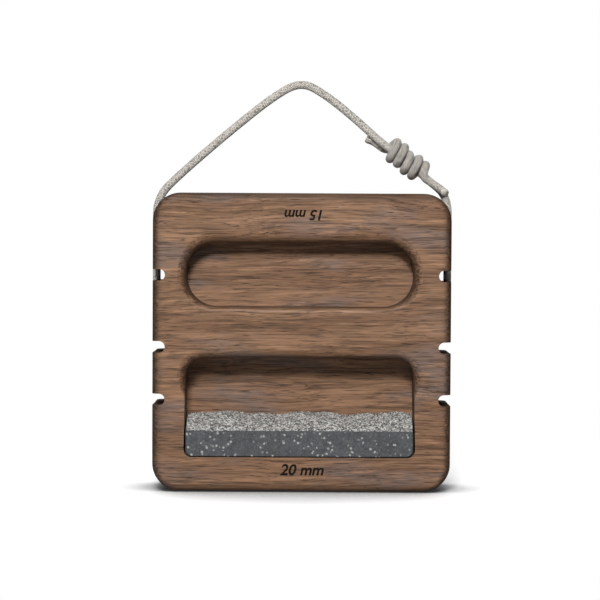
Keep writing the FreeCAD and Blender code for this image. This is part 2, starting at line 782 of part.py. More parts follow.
def print_gaps():
    cord = size("cord_diameter")
    strands = {}
    for name in ("knot_wrap_lower", "knot_wrap_upper"):
        strands[name] = path_points(name) + path_points(name.replace("knot_wrap", "cord_tail"))
    lower, upper = strands.values()
    between = min((p - q).Length for p in lower for q in upper)
    print("least gap between the knot's strands: %.3f" % (between - cord))
    for name, points in strands.items():
        far = int(3 * cord / (points[1] - points[0]).Length)
        least = min((p - q).Length for i, p in enumerate(points) for q in points[i + far:])
        print("least gap of %s to itself: %.3f" % (name, least - cord))
        if min(between, least) - cord < LEAST_GAP:
            raise RuntimeError("the knot's strands are too close")


# Everything together

def hang_level():
    """Where a hook carries the loop: the highest point of the inside of its top bend."""
    start, middle, end, _ = arc_at(apex_corner, left_second, right_first, size("apex_bend"))
    centre = Part.Circle(start, middle, end).Center
    return centre.z + size("apex_bend") - cord_radius


def main():
    wood = make_wood_body()
    stone, bed = make_stone_shapes()
    cords = make_cord()
    print_gaps()

    row = len(SIZES) + 1
    sheet.set("A%d" % row, "hang_level")
    sheet.set("B%d" % row, "%.4f" % hang_level())
    sheet.setAlias("B%d" % row, "hang_level")
    doc.recompute()
    print("the hook bears %.3f mm above the block's centre" % size("hang_level"))

    pieces = [wood, stone, bed] + cords
    for piece in pieces:
        piece.Placement = Placement(Vector(0, 0, -size("hang_level")), Rotation())
        piece.setExpression("Placement.Base.z", "-Sizes.hang_level")
    for piece in (stone, bed):
        piece.setExpression("Placement.Base.x", "Sizes.pocket_aside")
    doc.recompute()

    for thing in doc.Objects:
        if any(word in thing.State for word in ("Invalid", "Error")):
            raise RuntimeError("%s didn't build: %s" % (thing.Label, thing.State))
    os.makedirs("parts", exist_ok=True)
    for piece in pieces:
        shape = piece.Shape
        if shape.isNull() or not shape.isValid() or len(shape.Solids) != 1:
            raise RuntimeError("%s isn't one valid solid" % piece.Label)
        box = shape.BoundBox
        print(
            "%s: x %.2f..%.2f y %.2f..%.2f z %.2f..%.2f, %.0f mm3"
            % (piece.Label, box.XMin, box.XMax, box.YMin, box.YMax, box.ZMin, box.ZMax, shape.Volume)
        )
        shape.exportStep("parts/%s.step" % piece.Label)


main()
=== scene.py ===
import math

import bmesh
import bpy
from bpy.props import (
    FloatProperty,
    FloatVectorProperty,
    IntProperty,
    PointerProperty,
)
from mathutils import Matrix, Vector
from mathutils import noise
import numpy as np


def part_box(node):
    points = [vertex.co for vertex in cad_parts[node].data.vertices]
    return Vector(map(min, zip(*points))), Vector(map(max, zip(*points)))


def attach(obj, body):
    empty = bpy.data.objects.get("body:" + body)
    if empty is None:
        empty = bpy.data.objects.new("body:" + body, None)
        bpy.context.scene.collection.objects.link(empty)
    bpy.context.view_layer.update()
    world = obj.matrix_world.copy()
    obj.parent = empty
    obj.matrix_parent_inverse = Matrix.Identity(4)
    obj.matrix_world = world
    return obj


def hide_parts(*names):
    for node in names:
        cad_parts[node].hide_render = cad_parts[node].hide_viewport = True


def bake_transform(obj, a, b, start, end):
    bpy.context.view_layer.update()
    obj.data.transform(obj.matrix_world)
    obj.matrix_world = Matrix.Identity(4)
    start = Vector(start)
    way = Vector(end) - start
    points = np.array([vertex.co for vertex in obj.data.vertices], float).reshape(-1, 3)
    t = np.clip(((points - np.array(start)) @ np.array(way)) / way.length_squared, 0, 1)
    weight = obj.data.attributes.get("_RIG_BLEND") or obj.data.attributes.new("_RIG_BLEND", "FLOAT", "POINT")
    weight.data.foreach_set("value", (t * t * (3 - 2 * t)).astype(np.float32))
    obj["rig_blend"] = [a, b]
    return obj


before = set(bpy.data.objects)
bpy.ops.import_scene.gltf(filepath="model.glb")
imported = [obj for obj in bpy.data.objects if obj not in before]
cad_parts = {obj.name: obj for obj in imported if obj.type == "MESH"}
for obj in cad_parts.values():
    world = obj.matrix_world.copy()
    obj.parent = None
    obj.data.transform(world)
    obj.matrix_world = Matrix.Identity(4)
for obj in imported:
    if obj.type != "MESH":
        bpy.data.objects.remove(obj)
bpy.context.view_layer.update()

bl_info = {
    "name": "Hanging finger board",
    "version": (1, 0, 0),
    "blender": (4, 5, 0),
    "location": "View3D > Sidebar > Finger board",
    "description": "Dresses the hanging finger board: wood, stone edge, cord and studio",
    "category": "Object",
}

# Places in the frame, in metres. The CAD is drawn about the middle of the wooden block and
# hangs from the origin, so a height on the block is counted down from there.
WOOD_LOW, WOOD_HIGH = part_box("wood_body")
BLOCK_MIDDLE = (WOOD_LOW.z + WOOD_HIGH.z) / 2
FRONT = WOOD_LOW.y
MM = 0.001


def on_block(x, y, z):
    """A place given in millimetres from the middle of the block."""
    return Vector((x * MM, y * MM, z * MM + BLOCK_MIDDLE))


# The user's sizes and colours


def colour_setting(name, description, default):
    return FloatVectorProperty(name=name, description=description, default=default, subtype="COLOR")


def length_setting(name, description, default):
    return FloatProperty(name=name, description=description, default=default, unit="LENGTH")


def angle_setting(name, description, default):
    return FloatProperty(name=name, description=description, default=default, subtype="ANGLE")


class CordSettings(bpy.types.PropertyGroup):
    diameter: length_setting("Cord diameter", "Across the sheath", 0.004)
    carriers: IntProperty(
        name="Strands each way", description="Sheath strands that turn each way round the core", default=12
    )
    lay: length_setting("Lay length", "How far a sheath strand runs in one turn", 0.0155)
    relief: length_setting("Strand relief", "How far a strand stands above the gaps", 0.0002)
    light: colour_setting("Pale yarn", "Colour of the pale yarn", (0.66, 0.615, 0.55))
    # The dark yarn colour also serves as the painted shade in the gaps between the strands.
    dark: colour_setting("Dark yarn", "Colour of the flecks and the gaps", (0.045, 0.038, 0.032))


class WoodSettings(bpy.types.PropertyGroup):
    pale: colour_setting("Pale wood", "Lightest bands of the wood", (0.285, 0.156, 0.087))
    deep: colour_setting("Deep wood", "Darker bands of the wood", (0.178, 0.093, 0.050))
    grey: colour_setting("Grey patches", "Weathered patches between the bands", (0.176, 0.126, 0.110))
    pore: colour_setting("Pores", "Open pores", (0.022, 0.012, 0.007))


class StoneSettings(bpy.types.PropertyGroup):
    sawn: colour_setting("Sawn face", "Colour of the sawn front", (0.048, 0.053, 0.058))
    split: colour_setting("Split face", "Colour of the rough top", (0.34, 0.33, 0.31))
    roughness: length_setting("Split depth", "How rough the split top is", 0.0006)


class StageSettings(bpy.types.PropertyGroup):
    distance: length_setting("Camera distance", "From the lens to the block's front", 0.9125)
    lens: FloatProperty(name="Lens", description="Focal length in millimetres", default=109.5)
    roll: angle_setting("Roll", "Camera roll", 0.0055)
    key: FloatProperty(name="Key light", description="Power of the main light in watts", default=19.4)
    key_distance: length_setting("Key distance", "From the block's middle", 1.3)
    key_height: angle_setting("Key height", "Angle of the main light above level", math.radians(33))
    key_side: angle_setting("Key side", "Angle of the main light to the right", math.radians(-5))


# Small helpers for node materials


def new_material(name):
    """An empty node material with its Principled shader and output."""
    material = bpy.data.materials.new(name)
    material.use_nodes = True
    tree = material.node_tree
    tree.nodes.clear()
    out = tree.nodes.new("ShaderNodeOutputMaterial")
    shader = tree.nodes.new("ShaderNodeBsdfPrincipled")
    tree.links.new(shader.outputs["BSDF"], out.inputs["Surface"])
    return material, tree, shader


def node(tree, kind, inputs=None, **settings):
    """A node with its settings and its input values or links."""
    made = tree.nodes.new(kind)
    for name, value in settings.items():
        setattr(made, name, value)
    for name, value in (inputs or {}).items():
        socket = made.inputs[name]
        if isinstance(value, bpy.types.NodeSocket):
            tree.links.new(value, socket)
        else:
            socket.default_value = value
    return made


def maths(tree, operation, a, b=None):
    """The result of one sum, on numbers or on links."""
    made = tree.nodes.new("ShaderNodeMath")
    made.operation = operation
    for socket, value in zip(made.inputs, (a, b)):
        if isinstance(value, bpy.types.NodeSocket):
            tree.links.new(value, socket)
        elif value is not None:
            socket.default_value = value
    return made.outputs[0]


def remap(tree, value, low, high, to_low=0.0, to_high=1.0, smooth=True):
    """A value carried from one range into another."""
    made = tree.nodes.new("ShaderNodeMapRange")
    made.interpolation_type = "SMOOTHSTEP" if smooth else "LINEAR"
    tree.links.new(value, made.inputs["Value"])
    made.inputs["From Min"].default_value = low
    made.inputs["From Max"].default_value = high
    made.inputs["To Min"].default_value = to_low
    made.inputs["To Max"].default_value = to_high
    return made.outputs["Result"]


def mixed(tree, factor, a, b):
    """Two colours mixed by a factor."""
    made = tree.nodes.new("ShaderNodeMix")
    made.data_type = "RGBA"
    colours = [s for s in made.inputs if s.type == "RGBA"]
    for socket, value in ((made.inputs["Factor"], factor), (colours[0], a), (colours[1], b)):
        if isinstance(value, bpy.types.NodeSocket):
            tree.links.new(value, socket)
        elif isinstance(value, (int, float)):
            socket.default_value = value
        else:
            socket.default_value = (*value, 1.0)
    return next(s for s in made.outputs if s.type == "RGBA")


def noise_value(tree, where, scale, detail=2.0, rough=0.5, stretch=None):
    """A noise texture's value, on coordinates that may first be scaled by an axis."""
    if stretch is not None:
        where = node(tree, "ShaderNodeMapping", {"Vector": where, "Scale": stretch}).outputs["Vector"]
    settings = {"Vector": where, "Scale": scale, "Detail": detail, "Roughness": rough}
    return node(tree, "ShaderNodeTexNoise", settings).outputs["Fac"]


def object_place(tree):
    return node(tree, "ShaderNodeTexCoord").outputs["Object"]


def cell_values(tree, where, scale):
    """A random value for each cell of a Voronoi texture, and the distance to its middle."""
    cells = node(tree, "ShaderNodeTexVoronoi", {"Vector": where, "Scale": scale}, feature="F1")
    inputs = {"Vector": cells.outputs["Position"]}
    value = node(tree, "ShaderNodeTexWhiteNoise", inputs, noise_dimensions="3D")
    return value.outputs["Value"], cells.outputs["Distance"]


def scaled(colour, share):
    return tuple(channel * share for channel in colour)


def bumped(tree, height, strength, distance, before=None):
    """A normal bent by a height, on top of an earlier one if there is one."""
    made = tree.nodes.new("ShaderNodeBump")
    made.inputs["Strength"].default_value = strength
    made.inputs["Distance"].default_value = distance
    tree.links.new(height, made.inputs["Height"])
    if before is not None:
        tree.links.new(before, made.inputs["Normal"])
    return made.outputs["Normal"]


MOTTLE_SOCKETS = {
    "Scale": "NodeSocketFloat",
    "Stretch": "NodeSocketVector",
    "From": "NodeSocketFloat",
    "To": "NodeSocketFloat",
    "First": "NodeSocketColor",
    "Second": "NodeSocketColor",
    "Relief": "NodeSocketFloat",
    "Depth": "NodeSocketFloat",
}


def mottle_group():
    """The node group for small lumps, shared by the melted cord end, the adhesive and the burnt
    marks: two colours mixed by a noise, which also bends the normal."""
    if "mottle" in bpy.data.node_groups:
        return bpy.data.node_groups["mottle"]
    group = bpy.data.node_groups.new("mottle", "ShaderNodeTree")
    for name, kind in MOTTLE_SOCKETS.items():
        group.interface.new_socket(name=name, in_out="INPUT", socket_type=kind)
    group.interface.new_socket(name="Color", in_out="OUTPUT", socket_type="NodeSocketColor")
    group.interface.new_socket(name="Normal", in_out="OUTPUT", socket_type="NodeSocketVector")
    given = group.nodes.new("NodeGroupInput").outputs
    lumps = noise_value(group, object_place(group), given["Scale"], 3.0, 0.6, stretch=given["Stretch"])
    share = node(
        group,
        "ShaderNodeMapRange",
        {"Value": lumps, "From Min": given["From"], "From Max": given["To"]},
        interpolation_type="SMOOTHSTEP",
    )
    tone = mixed(group, share.outputs["Result"], given["First"], given["Second"])
    relief = {"Strength": given["Relief"], "Distance": given["Depth"], "Height": lumps}
    normal = node(group, "ShaderNodeBump", relief).outputs["Normal"]
    node(group, "NodeGroupOutput", {"Color": tone, "Normal": normal})
    return group


def mottled_material(name, scale, share_range, first, second, relief, depth, roughness, stretch=(1, 1, 1)):
    """A material of small lumps. Returns it with its shader."""
    material, tree, shader = new_material(name)
    lumps = node(tree, "ShaderNodeGroup", node_tree=mottle_group())
    given = {
        "Scale": scale,
        "Stretch": stretch,
        "From": share_range[0],
        "To": share_range[1],
        "First": (*first, 1),
        "Second": (*second, 1),
        "Relief": relief,
        "Depth": depth,
    }
    for key, value in given.items():
        lumps.inputs[key].default_value = value
    tree.links.new(lumps.outputs["Color"], shader.inputs["Base Color"])
    tree.links.new(lumps.outputs["Normal"], shader.inputs["Normal"])
    shader.inputs["Roughness"].default_value = roughness
    return material, shader


def put_material(thing, material):
    thing.data.materials.clear()
    thing.data.materials.append(material)


def link_mesh(name, bm):
    """A smooth-shaded object made of a bmesh."""
    mesh = bpy.data.meshes.new(name)
    bm.to_mesh(mesh)
    bm.free()
    for polygon in mesh.polygons:
        polygon.use_smooth = True
    thing = bpy.data.objects.new(name, mesh)
    bpy.context.scene.collection.objects.link(thing)
    return thing


# The cord: one length, from its lower tail through the knot, round the loop, down one side of
# the block, through it and up the other side, and through the knot again to its upper tail

KNOT_SLOPE = math.radians(38.1)
KNOT_MIDDLE = (52.3, 0.0, 92.8)
WRAP_RADIUS = 5.05
WRAP_TAPER = 0.75
WRAP_PITCH = 4.55
WRAP_START = 1.3
FIRST_WRAP = 72.0
LAST_WRAP = {"lower": 733.0, "upper": 695.0}
WRAP_POINTS = 14
CURVE_SHRINK = 0.975

# Control points of a strand in the knot's own frame: along it, and two ways across. It comes
# in along the middle, moves aside for the other strand's end, wraps, and leaves as a tail.
STANDING = {"lower": (-14.0, -0.7, 0.7), "upper": (-15.0, 0.7, 0.7)}
CROSSING = [(-3.1, 0.0, 0.0), (-0.5, 2.9, -2.1), (1.4, 4.6, 0.8)]
LEAVING = {
    "lower": [(1.3, 2.9, 3.9), (3.4, 1.9, 4.0), (6.5, 2.0, 3.7)],
    "upper": [(2.0, 4.35, -1.1), (5.0, 4.0, -0.7)],
}
TAIL_END = {"lower": (18.6, 2.4, 3.3), "upper": (12.8, 4.3, 0.1)}

# The tails' ends, in metres: how much of the cord a cut may touch, how far in from the tip it
# lies, and how far it leans to the front
TAIL_CUT = 0.008
CUT_IN = {"lower": 0.0031, "upper": 0.0006}
CUT_LEAN = {"lower": 1.1, "upper": -0.12}
MELTED_DOME = 0.00035

CORD_STEP = 0.00033
HIDDEN_STEP = 0.0015
CROSS_HOLE_LEVEL = 9.0
CROSS_HOLE_HALF = 64.0
BLEND_START = 78.0
BLEND_END = 66.0

LEG_LEFT = [(-38.5, 0, 105.6), (-62.0, 0, 85.2)]
TOP_BEND = [(27.0, 0, 113.2), (11.5, 0, 125.6), (-0.8, 0, 132.2), (-14.5, 0, 125.0)]
THROUGH_BLOCK = [
    (-74.2, 0, 73.0),
    (-74.2, 0, 56.0),
    (-74.2, 0, 21.0),
    (-74.2, 0, 9.0),
    (-62.2, 0, 9.0),
    (62.2, 0, 9.0),
    (74.2, 0, 9.0),
    (74.2, 0, 21.0),
    (74.2, 0, 56.0),
    (74.2, 0, 74.3),
]


def knot_place(point, turned):
    """A point of the knot's frame on the block. The upper strand is the lower one turned
    half round, so that each wraps the other."""
    along = Vector((math.cos(KNOT_SLOPE), 0, -math.sin(KNOT_SLOPE)))
    up = Vector((math.sin(KNOT_SLOPE), 0, math.cos(KNOT_SLOPE)))
    front = Vector((0, -1, 0))
    across_b = (up + front).normalized()
    across_c = (front - up).normalized()
    a, b, c = point
    flip = -1 if turned else 1
    return Vector(KNOT_MIDDLE) + along * (a * flip) + across_b * (b * flip) + across_c * c


def knot_strand(which):
    """Control points of one strand, from the standing cord to the tip of its tail."""
    points = [STANDING[which]] + CROSSING
    angle = FIRST_WRAP
    while angle <= LAST_WRAP[which]:
        turn = math.radians(angle)
        reach = (WRAP_RADIUS - WRAP_TAPER * angle / 720) / CURVE_SHRINK
        points.append((WRAP_START + WRAP_PITCH * angle / 360, reach * math.cos(turn), reach * math.sin(turn)))
        angle += 360 / WRAP_POINTS
    end = WRAP_START + WRAP_PITCH * LAST_WRAP[which] / 360
    points += [(end + a, b, c) for a, b, c in LEAVING[which] + [TAIL_END[which]]]
    return [knot_place(p, which == "upper") for p in points]


def route_points():
    """The whole cord's control points, from the lower tail's tip to the upper tail's."""
    lower = knot_strand("lower")
    upper = knot_strand("upper")
    middle = [Vector(p) for p in TOP_BEND + LEG_LEFT + THROUGH_BLOCK]
    return [on_block(*p) for p in lower[::-1] + middle + upper]


def spline_line(name, points):
    """The smooth line through a route: a NURBS spline's own points."""
    curve = bpy.data.curves.new(name, "CURVE")
    curve.dimensions = "3D"
    curve.resolution_u = 10
    spline = curve.splines.new("NURBS")
    spline.points.add(len(points) - 1)
    for control, place in zip(spline.points, points):
        control.co = (*place, 1)
    spline.order_u = 3
    spline.use_endpoint_u = True
    thing = bpy.data.objects.new(name, curve)
    bpy.context.scene.collection.objects.link(thing)
    bpy.context.view_layer.update()
    mesh = bpy.data.meshes.new_from_object(thing)
    line = [v.co.copy() for v in mesh.vertices]
    bpy.data.objects.remove(thing)
    bpy.data.curves.remove(curve)
    bpy.data.meshes.remove(mesh)
    return line


def inside_block(place):
    """Where nothing of the cord shows: in the cross hole."""
    level = on_block(0, 0, CROSS_HOLE_LEVEL).z
    return abs(place.x) < CROSS_HOLE_HALF * MM and abs(place.z - level) < 4 * MM


def evenly(line, step, hidden_step):
    """Places along the line at even steps, wider apart in the cross hole, and their distances."""
    runs = [0.0]
    for a, b in zip(line, line[1:]):
        runs.append(runs[-1] + (b - a).length)
    places, distances = [], []
    at, i = 0.0, 0
    while at < runs[-1]:
        while runs[i + 1] < at:
            i += 1
        share = (at - runs[i]) / max(runs[i + 1] - runs[i], 1e-9)
        place = line[i].lerp(line[i + 1], share)
        places.append(place)
        distances.append(at)
        at += hidden_step if inside_block(place) else step
    if runs[-1] - distances[-1] > step / 4:
        places.append(line[-1].copy())
        distances.append(runs[-1])
    return places, distances


def steady_frames(places):
    """A side direction at each place that turns no more than the line does."""
    aheads = []
    for i in range(len(places)):
        before, after = places[max(i - 1, 0)], places[min(i + 1, len(places) - 1)]
        aheads.append((after - before).normalized())
    side = aheads[0].orthogonal().normalized()
    sides = [side]
    for i in range(1, len(places)):
        side = aheads[i - 1].rotation_difference(aheads[i]) @ side
        side = (side - aheads[i] * side.dot(aheads[i])).normalized()
        sides.append(side)
    return aheads, sides


def braid_height(around, laid, carriers):
    """Height of a plain braid's surface, from 0 in the gaps to 1 on a strand's back."""
    p = carriers * (around + laid)
    q = carriers * (around - laid)
    across, along = p - math.floor(p), q - math.floor(q)
    if (math.floor(p) + math.floor(q)) % 2:
        across, along = along, across
    back = max(0.0, 1 - (2 * across - 1) ** 2) ** 0.5
    return back * (0.45 + 0.55 * max(0.0, 1 - (2 * along - 1) ** 2) ** 0.5)


def tail_swell(left):
    """How far the sheath is spread at the upper tail, at a distance in mm from its end."""
    spread = 0.28 * math.exp(-(((left - 1.8) / 1.7) ** 2))
    return (1 + spread) * min(1.0, 0.66 + 0.45 * max(left, 0) ** 0.5)


def bend_at(places, i):
    """How sharply the line turns at a place, as a share of a wrap of the knot."""
    before, after = places[max(i - 4, 0)], places[min(i + 4, len(places) - 1)]
    if (after - places[i]).length < 1e-6 or (places[i] - before).length < 1e-6:
        return 0.0
    turned = (places[i] - before).angle(after - places[i])
    return min(1.0, turned / (after - before).length * 2 * WRAP_RADIUS * MM)


def braided_tube(places, distances, settings):
    """A tube round the places, with the sheath's strands raised on it. Its UV map holds the turn
    round the cord and the distance along it in lays, and "opened" says how sharply it bends."""
    sides_round = 4 * settings.carriers
    radius = settings.diameter / 2
    aheads, sides = steady_frames(places)
    bm = bmesh.new()
    rows = len(places)
    bmesh.ops.create_grid(
        bm, x_segments=sides_round, y_segments=rows - 1, size=0.5, matrix=Matrix(), calc_uvs=True
    )
    uv = bm.loops.layers.uv.verify()
    run = bm.verts.layers.float.new("run")
    opened = bm.verts.layers.float.new("opened")
    bends = [bend_at(places, i) for i in range(rows)]
    for vertex in bm.verts:
        column = round((vertex.co.x + 0.5) * sides_round)
        row = round((vertex.co.y + 0.5) * (rows - 1))
        around = column / sides_round
        laid = distances[row] / settings.lay
        vertex[run] = distances[row]
        vertex[opened] = bends[row]
        for loop in vertex.link_loops:
            loop[uv].uv = (around, laid)
        raised = settings.relief * (braid_height(around, laid, settings.carriers) - 0.75)
        if inside_block(places[row]):
            raised = 0
        turn = 2 * math.pi * around
        across = aheads[row].cross(sides[row])
        out = sides[row] * math.cos(turn) + across * math.sin(turn)
        swell = tail_swell((distances[-1] - distances[row]) / MM) * (1 + 0.05 * bends[row])
        vertex.co = places[row] + out * (radius * swell + raised)
    bmesh.ops.remove_doubles(bm, verts=bm.verts, dist=1e-6)
    return bm, aheads


def cut_tail(bm, tip, ahead, which, first, last):
    """Cuts a tail off at a slant, between two distances along the cord, and closes it with a
    low melted cap. "ahead" points out of the cord's end."""
    plane = tip - ahead * CUT_IN[which]
    normal = (ahead + Vector((0, -1, 0)) * CUT_LEAN[which]).normalized()
    run = bm.verts.layers.float["run"]
    near = [v for v in bm.verts if first <= v[run] <= last]
    chosen = set(near)
    edges = [e for e in bm.edges if e.verts[0] in chosen and e.verts[1] in chosen]
    faces = [f for f in bm.faces if all(v in chosen for v in f.verts)]
    cut = bmesh.ops.bisect_plane(
        bm, geom=near + edges + faces, plane_co=plane, plane_no=normal, dist=1e-7, clear_outer=True
    )
    rim = [e for e in cut["geom_cut"] if isinstance(e, bmesh.types.BMEdge) and e.is_valid]
    filled = bmesh.ops.edgeloop_fill(bm, edges=rim)["faces"]
    bmesh.ops.recalc_face_normals(bm, faces=bm.faces)
    for face in bmesh.ops.poke(bm, faces=filled, offset=MELTED_DOME)["faces"]:
        face.material_index = 1


def braid_material(settings):
    """The sheath: pale strands over and under each other, a few dark-dyed strands, painted shade in the gaps
    where the strands dive, wider where the cord bends sharply, and fine yarn along each strand."""
    material, tree, shader = new_material("braided cord")
    uv = node(tree, "ShaderNodeUVMap").outputs["UV"]
    split = node(tree, "ShaderNodeSeparateXYZ", {"Vector": uv})
    around, laid = split.outputs["X"], split.outputs["Y"]
    p = maths(tree, "MULTIPLY", maths(tree, "ADD", around, laid), settings.carriers)
    q = maths(tree, "MULTIPLY", maths(tree, "SUBTRACT", around, laid), settings.carriers)
    both = maths(tree, "ADD", maths(tree, "FLOOR", p), maths(tree, "FLOOR", q))
    odd = maths(tree, "FLOORED_MODULO", both, 2.0)
    fp, fq = maths(tree, "FRACT", p), maths(tree, "FRACT", q)

    def pick(a, b):
        chosen = node(tree, "ShaderNodeMix", data_type="FLOAT")
        for socket, value in zip([s for s in chosen.inputs if s.type == "VALUE"][:3], (odd, a, b)):
            tree.links.new(value, socket)
        return chosen.outputs[0]

    across, along = pick(fp, fq), pick(fq, fp)

    def hump(value):
        off = maths(tree, "SUBTRACT", maths(tree, "MULTIPLY", value, 2.0), 1.0)
        return maths(tree, "SUBTRACT", 1.0, maths(tree, "MULTIPLY", off, off))

    round_across, round_along = hump(across), hump(along)
    back = maths(tree, "POWER", round_across, 0.5)
    length = maths(tree, "POWER", round_along, 0.5)
    height = maths(tree, "MULTIPLY", back, maths(tree, "ADD", maths(tree, "MULTIPLY", length, 0.55), 0.45))

    where = object_place(tree)
    strand = node(tree, "ShaderNodeCombineXYZ", {"X": maths(tree, "FLOOR", p), "Y": maths(tree, "FLOOR", q)})
    cell = node(tree, "ShaderNodeTexWhiteNoise", {"Vector": strand.outputs[0]}, noise_dimensions="2D")
    yarn = maths(tree, "SINE", maths(tree, "MULTIPLY", across, 22.0))
    fuzz = noise_value(tree, where, 5200.0, 3.0, 0.6)
    dyed = remap(tree, cell.outputs["Value"], 0.72, 0.95, 0.0, 0.62)
    tone = mixed(tree, dyed, settings.light, settings.dark)
    tone = mixed(tree, remap(tree, fuzz, 0.35, 0.75, 0.0, 0.35), tone, (0.80, 0.77, 0.71))
    # Painted shade in the gaps between the strands, widening where the cord bends sharply.
    opened = node(tree, "ShaderNodeAttribute", attribute_name="opened").outputs["Fac"]
    closed = maths(tree, "MULTIPLY", round_across, round_along)
    closed = maths(tree, "ADD", closed, maths(tree, "MULTIPLY", maths(tree, "SUBTRACT", fuzz, 0.5), 0.35))
    wide = maths(tree, "SUBTRACT", closed, maths(tree, "MULTIPLY", opened, 0.16))
    tone = mixed(tree, remap(tree, wide, 0.06, 0.44, 0.95, 0.0), tone, settings.dark)
    tree.links.new(tone, shader.inputs["Base Color"])
    shader.inputs["Roughness"].default_value = 0.72
    shader.inputs["Sheen Weight"].default_value = 0.25
    shader.inputs["Sheen Roughness"].default_value = 0.5
    fine = maths(tree, "ADD", maths(tree, "MULTIPLY", yarn, 0.08), maths(tree, "MULTIPLY", fuzz, 0.35))
    normal = bumped(tree, maths(tree, "ADD", height, fine), 0.7, 0.00025)
    tree.links.new(normal, shader.inputs["Normal"])
    return material


def melted_material():
    """The fused end of a nylon sheath: smooth, pale and a little glossy."""
    material, _ = mottled_material(
        "melted cord end", 900.0, (0.4, 0.7), (0.86, 0.82, 0.75), (0.62, 0.55, 0.45), 0.4, 0.0002, 0.38
    )
    return material


class HANGBOARD_OT_cord(bpy.types.Operator):
    """Makes the knotted cord loop with its braided sheath"""

    bl_idname = "hangboard.cord"
    bl_label = "Cord loop"

    def execute(self, context):
        settings = context.scene.hangboard_cord
        line = spline_line("cord route", route_points())
        places, distances = evenly(line, CORD_STEP, HIDDEN_STEP)
        bm, aheads = braided_tube(places, distances, settings)
        whole = distances[-1]
        cut_tail(bm, places[0], -aheads[0], "lower", 0, TAIL_CUT)
        cut_tail(bm, places[-1], aheads[-1], "upper", whole - TAIL_CUT, whole)
        bmesh.ops.recalc_face_normals(bm, faces=bm.faces)
        cord = link_mesh("cord_loop_braided", bm)
        cord.data.materials.append(braid_material(settings))
        cord.data.materials.append(melted_material())
        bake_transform(cord, "loop", "board", start=on_block(0, 0, BLEND_START), end=on_block(0, 0, BLEND_END))
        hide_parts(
            "cord_held",
            "cord_loop",
            "cord_bend_left",
            "cord_bend_right",
            "knot_wrap_lower",
            "knot_wrap_upper",
            "cord_tail_lower",
            "cord_tail_upper",
        )
        return {"FINISHED"}


# The stone edge

STONE_MIDDLE = -0.9
STONE_HALF = 56.9
STONE_LOW = -57.2
STONE_FRONT = -19.7
STONE_BACK = -0.4
STONE_BROW = -44.0
STONE_TOP = -36.8
STONE_CORNER = 3.5

# The split top: its waves (length, phase, height) and how far it bulges above a straight slope
SPLIT_WAVES = ((6.9, 0.8, 0.6), (2.7, 2.1, 0.3))
CROWN_HEIGHT = 1.5
CROWN_SHARE = 0.4
ROWS = {"front": 26, "top": 48, "back": 8, "low": 8}
COLUMNS = 284


def rough(x, y, z, scale):
    """Broken-stone roughness from -1 to 1: facets with finer grit on them."""
    place = Vector((x, y, z)) * scale
    coarse = noise.noise(place)
    middle = noise.noise(place * 2.7 + Vector((5, 1, 9)))
    fine = noise.noise(place * 7.1 + Vector((2, 7, 3)))
    return 0.5 * coarse + 0.32 * middle + 0.28 * fine


def stone_top(x, share):
    """Height of the split top, from the front arris (share 0) to its back edge (share 1)."""
    swell = sum(height * math.sin(x / length + phase) for length, phase, height in SPLIT_WAVES)
    back = STONE_TOP + swell
    straight = STONE_BROW + (back - STONE_BROW) * share
    return straight + 4 * share * (1 - share) * (CROWN_HEIGHT + CROWN_SHARE * swell)


def stone_mesh(settings):
    """The bar as a grid wrapped round its section and drawn along it."""
    front_rows, top_rows, back_rows, low_rows = ROWS.values()
    rows = sum(ROWS.values())
    bm = bmesh.new()
    bmesh.ops.create_grid(bm, x_segments=COLUMNS, y_segments=rows, size=0.5)
    split = bm.verts.layers.float.new("split")
    grit = settings.roughness / MM
    for vertex in bm.verts:
        share_x = vertex.co.x + 0.5
        row = round((vertex.co.y + 0.5) * rows)
        x = STONE_HALF * (2 * share_x - 1)
        inset = max(0.0, abs(x) - (STONE_HALF - STONE_CORNER))
        low = STONE_LOW + STONE_CORNER - math.sqrt(max(STONE_CORNER**2 - inset**2, 0))
        if row <= front_rows:
            t = row / front_rows
            brow = STONE_BROW + 0.35 * rough(x, 3.0, 0.0, 0.9)
            y, z = STONE_FRONT, low + (brow - low) * t
            vertex[split] = 1.0 if row == front_rows else 0.0
        elif row <= front_rows + top_rows:
            t = (row - front_rows) / top_rows
            y = STONE_FRONT + (STONE_BACK - STONE_FRONT) * t
            z = stone_top(x, t)
            amount = grit * min(1.0, 0.35 + 4 * t) * (1.6 if t > 0.85 else 1.0)
            z += amount * rough(x, y, 0.0, 0.75) - 0.15 * grit
            if t == 0:
                y += 0.25 * abs(rough(x, 1.0, 4.0, 1.3))
            vertex[split] = 1.0
        elif row <= front_rows + top_rows + back_rows:
            t = (row - front_rows - top_rows) / back_rows
            top = stone_top(x, 1.0)
            y, z = STONE_BACK, top + (low - top) * t
            vertex[split] = 0.6
        else:
            t = (row - front_rows - top_rows - back_rows) / low_rows
            y, z = STONE_BACK + (STONE_FRONT - STONE_BACK) * t, low
            vertex[split] = 0.0
        vertex.co = on_block(x + STONE_MIDDLE, y, z)
    bmesh.ops.remove_doubles(bm, verts=bm.verts, dist=1e-6)
    ends = [e for e in bm.edges if e.is_boundary]
    bmesh.ops.holes_fill(bm, edges=ends, sides=0)
    bmesh.ops.recalc_face_normals(bm, faces=bm.faces)
    return bm


